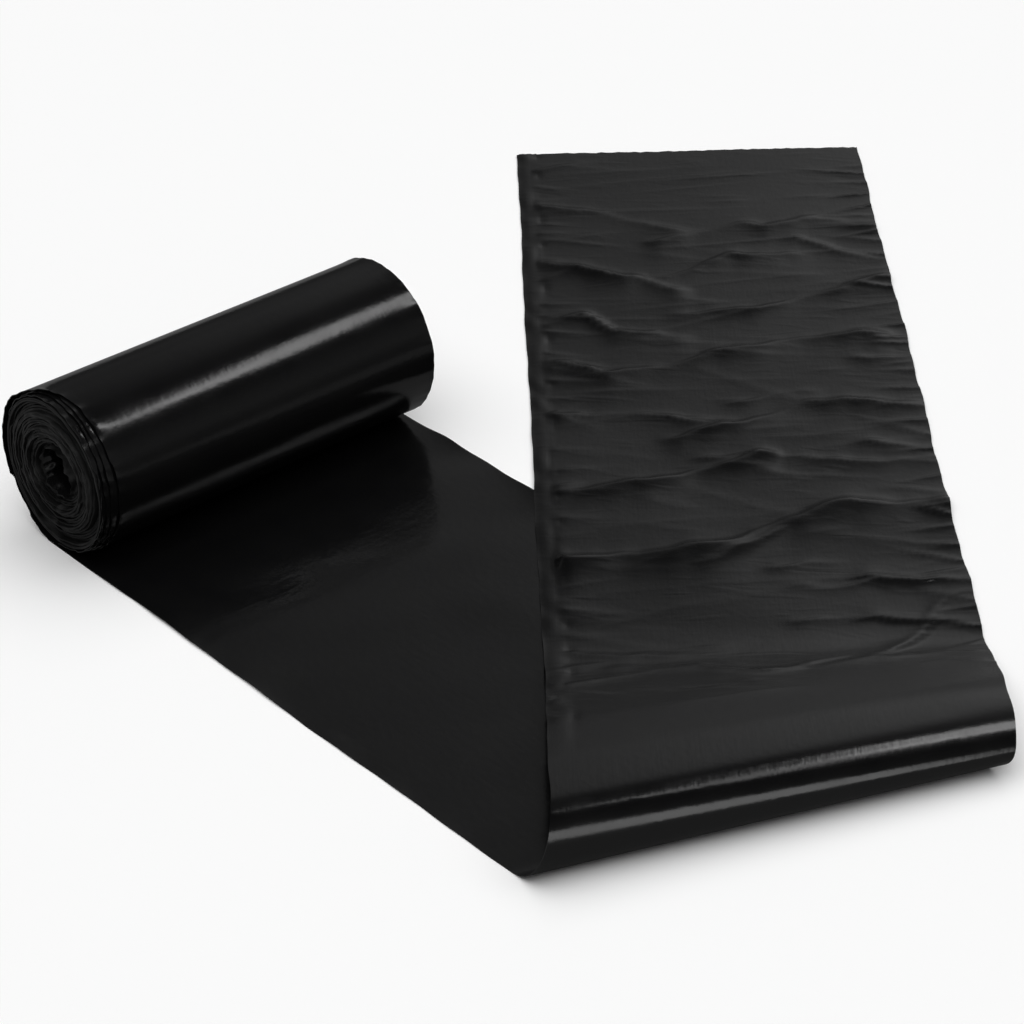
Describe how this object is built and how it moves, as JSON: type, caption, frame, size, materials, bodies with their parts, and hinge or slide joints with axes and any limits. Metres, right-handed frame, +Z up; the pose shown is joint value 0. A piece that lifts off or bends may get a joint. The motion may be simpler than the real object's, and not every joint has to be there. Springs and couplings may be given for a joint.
{
  "type": "bin bag roll",
  "caption": "Coreless roll of black bin bags, partly unrolled: the flat-folded web runs off under the roll, turns back in a soft fold and ends torn.",
  "frame": {"origin": "on the ground under the middle of the roll's axis", "axes": "+Z up, +Y along the roll's axis, +X the way the web leaves the bottom of the roll"},
  "size_m": [0.6705, 0.68, 0.0936],
  "materials": {
    "black_film": "blown black low-density polyethylene film, softly glossy where it is wound tight"
  },
  "bodies": {
    "root": {"bag_web": "black_film"}
  },
  "joints": []
}
